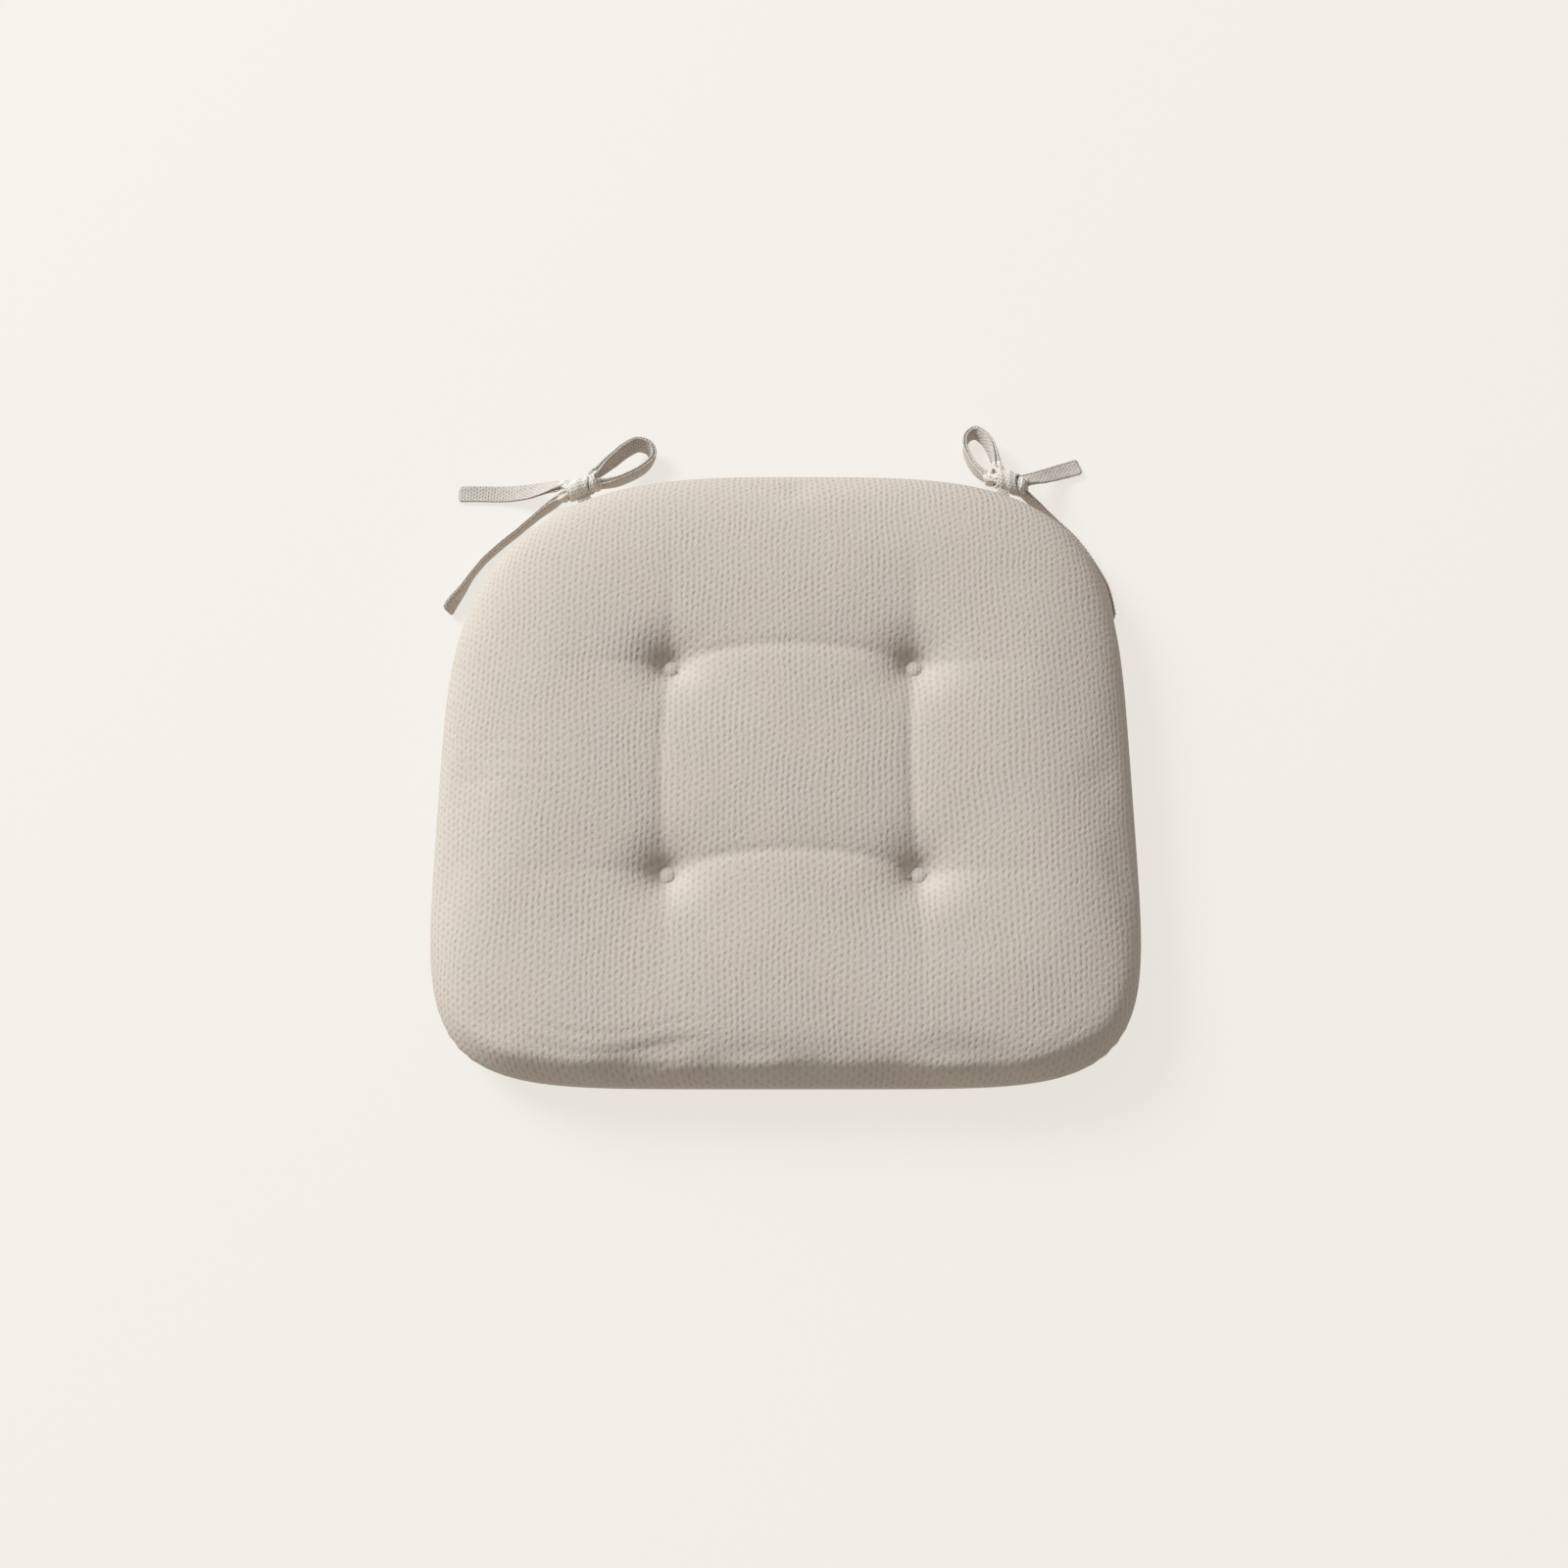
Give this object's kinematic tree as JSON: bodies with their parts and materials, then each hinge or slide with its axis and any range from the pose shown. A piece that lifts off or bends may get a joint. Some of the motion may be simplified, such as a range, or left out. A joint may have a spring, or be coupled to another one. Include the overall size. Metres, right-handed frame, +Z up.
{
  "type": "chair seat pad",
  "caption": "Tufted, foam-filled seat pad with a rounded D-shaped outline, woven fabric covers, covered tuft buttons and a fabric tie in a bow at each back corner.",
  "frame": {"origin": "on the surface that the pad lies on, under the middle of the pad without its ties", "axes": "+X to the right as seen from the front, +Y towards the chair's back, where the ties are, +Z up"},
  "size_m": [0.4222, 0.4281, 0.05],
  "materials": {
    "woven_cover": "matte",
    "tie_fabric": "matte",
    "thread": "matte",
    "foam": "matte",
    "wadding": "matte",
    "button_metal": "satin",
    "anchor_plastic": "satin"
  },
  "bodies": {
    "pad": {"top_cover": "woven_cover", "bottom_cover": "woven_cover", "seam_thread": "thread", "foam_core": "foam", "upper_wadding": "wadding", "lower_wadding": "wadding", "button_cover_back_left": "woven_cover", "button_mould_back_left": "button_metal", "tuft_twine_back_left": "thread", "anchor_button_back_left": "anchor_plastic", "button_cover_back_right": "woven_cover", "button_mould_back_right": "button_metal", "tuft_twine_back_right": "thread", "anchor_button_back_right": "anchor_plastic", "button_cover_front_left": "woven_cover", "button_mould_front_left": "button_metal", "tuft_twine_front_left": "thread", "anchor_button_front_left": "anchor_plastic", "button_cover_front_right": "woven_cover", "button_mould_front_right": "button_metal", "tuft_twine_front_right": "thread", "anchor_button_front_right": "anchor_plastic", "left_tie_root": "tie_fabric", "left_bar_tack": "thread", "left_knot": "tie_fabric", "right_tie_root": "tie_fabric", "right_bar_tack": "thread", "right_knot": "tie_fabric"},
    "left_loop": {"left_loop": "tie_fabric"},
    "left_flat_tail": {"left_flat_tail": "tie_fabric"},
    "left_edge_tail": {"left_edge_tail": "tie_fabric"},
    "right_loop": {"right_loop": "tie_fabric"},
    "right_flat_tail": {"right_flat_tail": "tie_fabric"},
    "right_edge_tail": {"right_edge_tail": "tie_fabric"}
  },
  "joints": [
    {"name": "left_loop_swing", "type": "hinge", "parent": "pad", "child": "left_loop", "pos_m": [-0.1202, 0.194, 0.0192], "axis": [0, 0, 1], "range_deg": [0, 25]},
    {"name": "left_flat_tail_lift", "type": "hinge", "parent": "pad", "child": "left_flat_tail", "pos_m": [-0.1415, 0.1895, 0.0195], "axis": [0, 1, 0], "range_deg": [0, 60]},
    {"name": "left_edge_tail_swing", "type": "hinge", "parent": "pad", "child": "left_edge_tail", "pos_m": [-0.141, 0.1815, 0.02], "axis": [0, 0, -1], "range_deg": [0, 25]},
    {"name": "right_loop_swing", "type": "hinge", "parent": "pad", "child": "right_loop", "pos_m": [0.1315, 0.199, 0.019], "axis": [0, 0, -1], "range_deg": [0, 25]},
    {"name": "right_flat_tail_lift", "type": "hinge", "parent": "pad", "child": "right_flat_tail", "pos_m": [0.151, 0.1925, 0.0195], "axis": [0.456, -0.89, 0], "range_deg": [0, 50]},
    {"name": "right_edge_tail_swing", "type": "hinge", "parent": "pad", "child": "right_edge_tail", "pos_m": [0.1495, 0.1855, 0.02], "axis": [0, 0, 1], "range_deg": [0, 40]}
  ]
}
